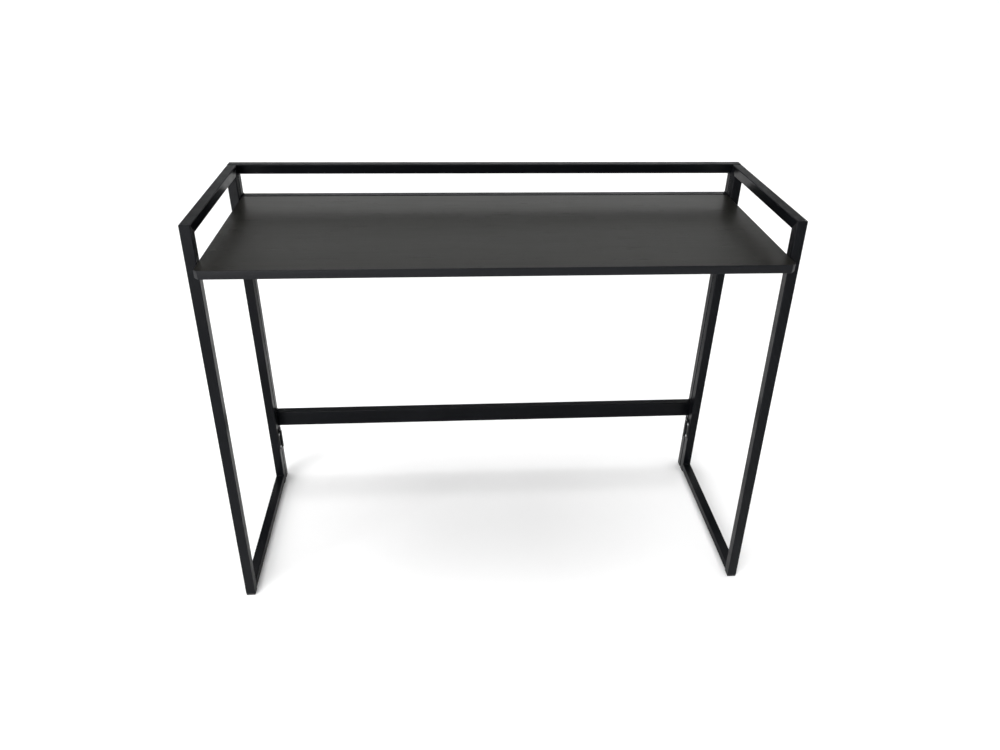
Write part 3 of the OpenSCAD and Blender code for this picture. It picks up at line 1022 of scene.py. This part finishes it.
def make_floor():
    """A wide pale floor that curves up into a low wall all round."""
    material, tree, shader, place = start_material("pale_floor")
    tone = spread(tree, noise(tree, place, scale=3, detail=3), 0.3, 0.7)
    base = bpy.context.scene.desk_studio.floor
    colour = blend_colours(tree, tone, [c * 0.99 for c in base], base)
    tree.links.new(colour, shader.inputs["Base Color"])
    shader.inputs["Roughness"].default_value = 0.9
    profile = [(FLOOR_REACH, 0)]
    for angle in quarter_turn(FLOOR_BEND_STEPS)[1:]:
        radius = FLOOR_REACH + FLOOR_BEND * math.sin(angle)
        profile.append((radius, FLOOR_BEND * (1 - math.cos(angle))))
    profile.append((FLOOR_REACH + FLOOR_BEND, WALL_TOP))
    turns = [math.tau * k / FLOOR_SIDES for k in range(FLOOR_SIDES)]
    bm = bmesh.new()
    rings = []
    for radius, z in profile:
        rings.append([bm.verts.new((radius * math.cos(t), radius * math.sin(t), z)) for t in turns])
    bm.faces.new(rings[0])
    for inner, outer in zip(rings, rings[1:]):
        for i in range(FLOOR_SIDES):
            j = (i + 1) % FLOOR_SIDES
            bm.faces.new((inner[i], outer[i], outer[j], inner[j]))
    mesh = bpy.data.meshes.new("studio_floor")
    bm.to_mesh(mesh)
    bm.free()
    mesh.shade_smooth()
    mesh.set_sharp_from_angle(angle=math.radians(30))
    mesh.materials.append(material)
    floor = bpy.data.objects.new("studio_floor", mesh)
    bpy.context.scene.collection.objects.link(floor)


def make_light(name, place, aim, size, power):
    """A rectangular area light at a place, turned towards a point."""
    light = bpy.data.lights.new(name, "AREA")
    light.shape = "RECTANGLE"
    light.size, light.size_y = size
    light.energy = power
    lamp = bpy.data.objects.new(name, light)
    lamp.location = place
    lamp.rotation_euler = (Vector(aim) - Vector(place)).to_track_quat("-Z", "Y").to_euler()
    bpy.context.scene.collection.objects.link(lamp)


def make_studio():
    """The floor, white surroundings, two soft panels, an even overhead light and the camera."""
    settings = bpy.context.scene.desk_studio
    make_floor()
    world = bpy.data.worlds.new("white_surroundings")
    world.use_nodes = True
    background = world.node_tree.nodes["Background"]
    background.inputs["Color"].default_value = (1, 1, 1, 1)
    background.inputs["Strength"].default_value = settings.sky
    bpy.context.scene.world = world
    make_light(
        "key_light", place=(-2.3, -3.2, 1.5), aim=(-0.3, 0, 0.6), size=(3.2, 2.4),
        power=settings.key)
    make_light(
        "rear_light", place=(0.35, 5.5, 2.6), aim=(0.35, 0, 0.8), size=(4.6, 2.2),
        power=settings.rear)
    overhead = bpy.data.lights.new("overhead_light", "SUN")
    overhead.energy = settings.overhead
    overhead.angle = OVERHEAD_SPREAD
    lamp = bpy.data.objects.new("overhead_light", overhead)
    bpy.context.scene.collection.objects.link(lamp)
    lens = bpy.data.cameras.new("camera")
    lens.sensor_width = SENSOR_WIDTH
    lens.lens = settings.lens
    lens.shift_x, lens.shift_y = settings.shift
    camera = bpy.data.objects.new("camera", lens)
    camera.matrix_world = (
        Matrix.Translation(settings.camera)
        @ Matrix.Rotation(settings.turn, 4, "Z")
        @ Matrix.Rotation(math.pi / 2 + settings.tilt, 4, "X")
        @ Matrix.Rotation(settings.roll, 4, "Z")
    )
    bpy.context.scene.collection.objects.link(camera)
    bpy.context.scene.camera = camera
    bpy.context.scene.view_settings.view_transform = "Standard"


# ---- Operators ----

class DESK_OT_rear_frame(Operator):
    """Builds the posts, the rear rails and the stretcher."""

    bl_idname = "desk.rear_frame"
    bl_label = "Rear frame"

    def execute(self, context):
        make_rear_frame()
        return {"FINISHED"}


class DESK_OT_side_frames(Operator):
    """Builds both side frames."""

    bl_idname = "desk.side_frames"
    bl_label = "Side frames"

    def execute(self, context):
        for name, side in SIDES.items():
            make_side_frame(name, side)
        return {"FINISHED"}


class DESK_OT_hinges(Operator):
    """Builds the leaves, pins and rivets of the four hinges."""

    bl_idname = "desk.hinges"
    bl_label = "Hinges"

    def execute(self, context):
        for name, side in SIDES.items():
            for level in LEVELS:
                for kind in ("post", "wing"):
                    make_leaf(name, side, level, kind)
                make_pin(name, level)
            make_rivets(f"{name}_wing_rivets", (name,))
        make_rivets("post_rivets", tuple(SIDES))
        return {"FINISHED"}


class DESK_OT_glides(Operator):
    """Builds the six glides."""

    bl_idname = "desk.glides"
    bl_label = "Glides"

    def execute(self, context):
        for name, side in SIDES.items():
            make_glide(f"{name}_front_glide", side, FOOT_Y, RUN, LEAN)
            make_glide(f"{name}_rear_glide", side, LEG_FRONT_Y, TUBE, 0)
            make_glide(f"{name}_post_glide", side, POST_Y, TUBE, 0)
        return {"FINISHED"}


class DESK_OT_supports(Operator):
    """Builds the tabs that the board rests on, and their pegs."""

    bl_idname = "desk.supports"
    bl_label = "Supports"

    def execute(self, context):
        for name, side in SIDES.items():
            for place in ("front", "rear"):
                make_tab(name, side, place)
                make_peg(f"{name}_{place}_peg")
        return {"FINISHED"}


class DESK_OT_desktop(Operator):
    """Builds the board and its edge bands."""

    bl_idname = "desk.desktop"
    bl_label = "Desktop"

    def execute(self, context):
        make_board()
        make_bands()
        return {"FINISHED"}


class DESK_OT_studio(Operator):
    """Builds the floor, the lights and the camera."""

    bl_idname = "desk.studio"
    bl_label = "Studio"

    def execute(self, context):
        make_studio()
        return {"FINISHED"}


class DESK_PT_panel(Panel):
    """Lists the desk's steps, sizes and colours."""

    bl_idname = "DESK_PT_panel"
    bl_label = "Folding writing desk"
    bl_space_type = "VIEW_3D"
    bl_region_type = "UI"
    bl_category = "Desk"

    def draw(self, context):
        column = self.layout.column(align=True)
        for operator in OPERATORS:
            column.operator(operator.bl_idname)
        for group_name, group in GROUPS.items():
            box = self.layout.box()
            for name in group.__annotations__:
                box.prop(getattr(context.scene, group_name), name)


GROUPS = {"desk_sizes": DeskSizes, "desk_colours": DeskColours, "desk_studio": StudioSettings}
OPERATORS = (
    DESK_OT_studio, DESK_OT_rear_frame, DESK_OT_side_frames, DESK_OT_hinges,
    DESK_OT_glides, DESK_OT_supports, DESK_OT_desktop,
)


def register():
    """Registers the classes and hangs the settings on the scene."""
    for cls in (*GROUPS.values(), *OPERATORS, DESK_PT_panel):
        bpy.utils.register_class(cls)
    for name, group in GROUPS.items():
        setattr(bpy.types.Scene, name, PointerProperty(type=group))


def unregister():
    """Takes the settings and the classes away again."""
    for name in GROUPS:
        delattr(bpy.types.Scene, name)
    for cls in (DESK_PT_panel, *reversed(OPERATORS), *reversed(GROUPS.values())):
        bpy.utils.unregister_class(cls)


def main():
    """Builds the whole desk."""
    register()
    bpy.ops.desk.studio()
    bpy.ops.desk.rear_frame()
    bpy.ops.desk.side_frames()
    bpy.ops.desk.hinges()
    bpy.ops.desk.glides()
    bpy.ops.desk.supports()
    bpy.ops.desk.desktop()


if __name__ == "__main__":
    main()
